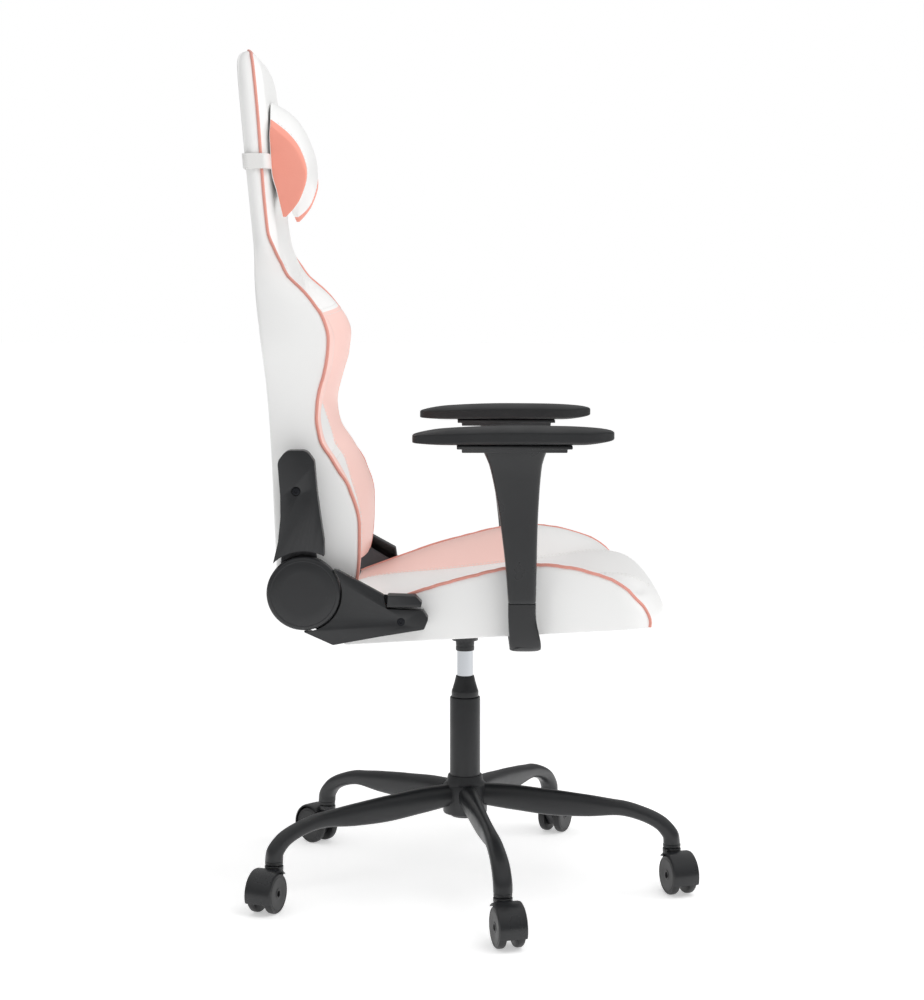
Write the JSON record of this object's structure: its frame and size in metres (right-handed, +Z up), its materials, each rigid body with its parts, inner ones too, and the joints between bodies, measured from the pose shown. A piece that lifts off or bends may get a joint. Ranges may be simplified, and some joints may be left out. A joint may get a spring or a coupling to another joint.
{
  "type": "gaming chair",
  "caption": "Swivel gaming chair with a tall reclining backrest, bolstered seat, headrest pillow, fixed armrests, gas lift and a star base on twin-wheel casters.",
  "frame": {"origin": "on the floor, below the centre of the chair's box", "axes": "+Z up, the chair faces -Y, the sitter's right hand is at -X"},
  "size_m": [0.7163, 0.6826, 1.268],
  "materials": {
    "powder_coated_steel": "satin",
    "moulded_plastic": "matte",
    "post_plastic": "matte",
    "caster_plastic": "satin",
    "zinc_plated_steel": "satin",
    "chrome_plate": "polished",
    "pad_foam": "matte",
    "frame_steel": "satin",
    "webbing": "matte",
    "white_faux_leather": "satin",
    "pink_faux_leather": "satin",
    "strap_elastic": "matte",
    "black_screw": "satin"
  },
  "bodies": {
    "base": {"base_hub": "powder_coated_steel", "base_leg_1": "powder_coated_steel", "base_leg_2": "powder_coated_steel", "base_leg_3": "powder_coated_steel", "base_leg_4": "powder_coated_steel", "base_leg_5": "powder_coated_steel", "leg_sockets": "moulded_plastic", "caster_stems": "zinc_plated_steel", "gas_cylinder": "powder_coated_steel", "cylinder_cap": "moulded_plastic"},
    "caster_1": {"caster_1_housing": "caster_plastic"},
    "wheel_1a": {"caster_1_wheel_a": "caster_plastic"},
    "wheel_1b": {"caster_1_wheel_b": "caster_plastic"},
    "caster_2": {"caster_2_housing": "caster_plastic"},
    "wheel_2a": {"caster_2_wheel_a": "caster_plastic"},
    "wheel_2b": {"caster_2_wheel_b": "caster_plastic"},
    "caster_3": {"caster_3_housing": "caster_plastic"},
    "wheel_3a": {"caster_3_wheel_a": "caster_plastic"},
    "wheel_3b": {"caster_3_wheel_b": "caster_plastic"},
    "caster_4": {"caster_4_housing": "caster_plastic"},
    "wheel_4a": {"caster_4_wheel_a": "caster_plastic"},
    "wheel_4b": {"caster_4_wheel_b": "caster_plastic"},
    "caster_5": {"caster_5_housing": "caster_plastic"},
    "wheel_5a": {"caster_5_wheel_a": "caster_plastic"},
    "wheel_5b": {"caster_5_wheel_b": "caster_plastic"},
    "piston": {"gas_piston": "chrome_plate", "piston_collar": "moulded_plastic"},
    "gas_release": {"release_pin": "zinc_plated_steel"},
    "seat": {"seat_plate": "powder_coated_steel", "seat_bolts": "zinc_plated_steel", "seat_frame": "frame_steel", "seat_webbing": "webbing", "seat_cushion": "white_faux_leather", "seat_base_cloth": "webbing", "armrest_right_bracket": "powder_coated_steel", "armrest_right_post": "post_plastic", "armrest_right_pad": "pad_foam", "armrest_left_bracket": "powder_coated_steel", "armrest_left_post": "post_plastic", "armrest_left_pad": "pad_foam", "armrest_plates": "moulded_plastic", "seat_bracket_right": "powder_coated_steel", "seat_bracket_left": "powder_coated_steel", "lower_cover_right": "moulded_plastic", "lower_cover_left": "moulded_plastic", "hinge_caps": "moulded_plastic", "hinge_pins": "zinc_plated_steel", "lower_cover_screws": "black_screw"},
    "back": {"back_frame": "frame_steel", "back_cushion": "white_faux_leather", "back_bracket_right": "powder_coated_steel", "back_bracket_left": "powder_coated_steel", "upper_cover_right": "moulded_plastic", "upper_cover_left": "moulded_plastic", "upper_cover_screws": "black_screw"},
    "height_lever": {"height_lever": "zinc_plated_steel", "height_lever_grip": "moulded_plastic"},
    "recline_lever": {"recline_lever": "moulded_plastic"},
    "headrest": {"headrest_pillow": "pink_faux_leather", "pillow_strap": "strap_elastic"}
  },
  "joints": [
    {"name": "caster_1_swivel", "type": "hinge", "parent": "base", "child": "caster_1", "pos_m": [-0.30061, -0.04081, 0.05], "axis": [0, 0, 1], "continuous": true},
    {"name": "wheel_1a_spin", "type": "hinge", "parent": "caster_1", "child": "wheel_1a", "pos_m": [-0.32379, -0.04703, 0.03], "axis": [0.2588, -0.9659, 0], "continuous": true},
    {"name": "wheel_1b_spin", "type": "hinge", "parent": "caster_1", "child": "wheel_1b", "pos_m": [-0.32379, -0.04703, 0.03], "axis": [0.2588, -0.9659, 0], "continuous": true},
    {"name": "caster_2_swivel", "type": "hinge", "parent": "base", "child": "caster_2", "pos_m": [-0.0323, -0.30449, 0.05], "axis": [0, 0, 1], "continuous": true},
    {"name": "wheel_2a_spin", "type": "hinge", "parent": "caster_2", "child": "wheel_2a", "pos_m": [-0.05499, -0.3123, 0.03], "axis": [0.3256, -0.9455, 0], "continuous": true},
    {"name": "wheel_2b_spin", "type": "hinge", "parent": "caster_2", "child": "wheel_2b", "pos_m": [-0.05499, -0.3123, 0.03], "axis": [0.3256, -0.9455, 0], "continuous": true},
    {"name": "caster_3_swivel", "type": "hinge", "parent": "base", "child": "caster_3", "pos_m": [0.30138, -0.13078, 0.05], "axis": [0, 0, 1], "continuous": true},
    {"name": "wheel_3a_spin", "type": "hinge", "parent": "caster_3", "child": "wheel_3a", "pos_m": [0.32286, -0.14149, 0.03], "axis": [0.4462, 0.8949, 0], "continuous": true},
    {"name": "wheel_3b_spin", "type": "hinge", "parent": "caster_3", "child": "wheel_3b", "pos_m": [0.32286, -0.14149, 0.03], "axis": [0.4462, 0.8949, 0], "continuous": true},
    {"name": "caster_4_swivel", "type": "hinge", "parent": "base", "child": "caster_4", "pos_m": [0.23929, 0.24024, 0.05], "axis": [0, 0, 1], "continuous": true},
    {"name": "wheel_4a_spin", "type": "hinge", "parent": "caster_4", "child": "wheel_4a", "pos_m": [0.25611, 0.25736, 0.03], "axis": [-0.7133, 0.7009, 0], "continuous": true},
    {"name": "wheel_4b_spin", "type": "hinge", "parent": "caster_4", "child": "wheel_4b", "pos_m": [0.25611, 0.25736, 0.03], "axis": [-0.7133, 0.7009, 0], "continuous": true},
    {"name": "caster_5_swivel", "type": "hinge", "parent": "base", "child": "caster_5", "pos_m": [-0.13276, 0.29584, 0.05], "axis": [0, 0, 1], "continuous": true},
    {"name": "wheel_5a_spin", "type": "hinge", "parent": "caster_5", "child": "wheel_5a", "pos_m": [-0.15501, 0.30483, 0.03], "axis": [-0.3746, -0.9272, 0], "continuous": true},
    {"name": "wheel_5b_spin", "type": "hinge", "parent": "caster_5", "child": "wheel_5b", "pos_m": [-0.15501, 0.30483, 0.03], "axis": [-0.3746, -0.9272, 0], "continuous": true},
    {"name": "gas_lift", "type": "slide", "parent": "base", "child": "piston", "axis": [0, 0, 1], "range_m": [-0.035, 0.045]},
    {"name": "seat_swivel", "type": "hinge", "parent": "piston", "child": "seat", "pos_m": [0.015, 0.012, 0.39], "axis": [0, 0, 1], "continuous": true},
    {"name": "gas_release_press", "type": "slide", "parent": "piston", "child": "gas_release", "axis": [0, 0, -1], "range_m": [0, 0.0045], "stiffness_N_per_m": 4000, "springref_m": -0.002},
    {"name": "backrest_recline", "type": "hinge", "parent": "seat", "child": "back", "pos_m": [0.015, 0.239, 0.492], "axis": [-1, 0, 0], "range_deg": [0, 60]},
    {"name": "recline_release", "type": "hinge", "parent": "seat", "child": "recline_lever", "pos_m": [0.015, 0.239, 0.492], "axis": [-1, 0, 0], "range_deg": [0, 20], "stiffness_Nm_per_rad": 1.5, "springref_deg": -17.19},
    {"name": "height_release", "type": "hinge", "parent": "seat", "child": "height_lever", "pos_m": [0.056, 0.012, 0.407], "axis": [0, -1, 0], "range_deg": [0, 6], "stiffness_Nm_per_rad": 3, "springref_deg": -17.19},
    {"name": "headrest_slide", "type": "slide", "parent": "back", "child": "headrest", "axis": [0, 0.0906, 0.9959], "range_m": [-0.03, 0.03]}
  ],
  "couplings": [
    {"joint": "gas_release_press", "follows": "height_release", "m_per_rad": 0.041}
  ]
}
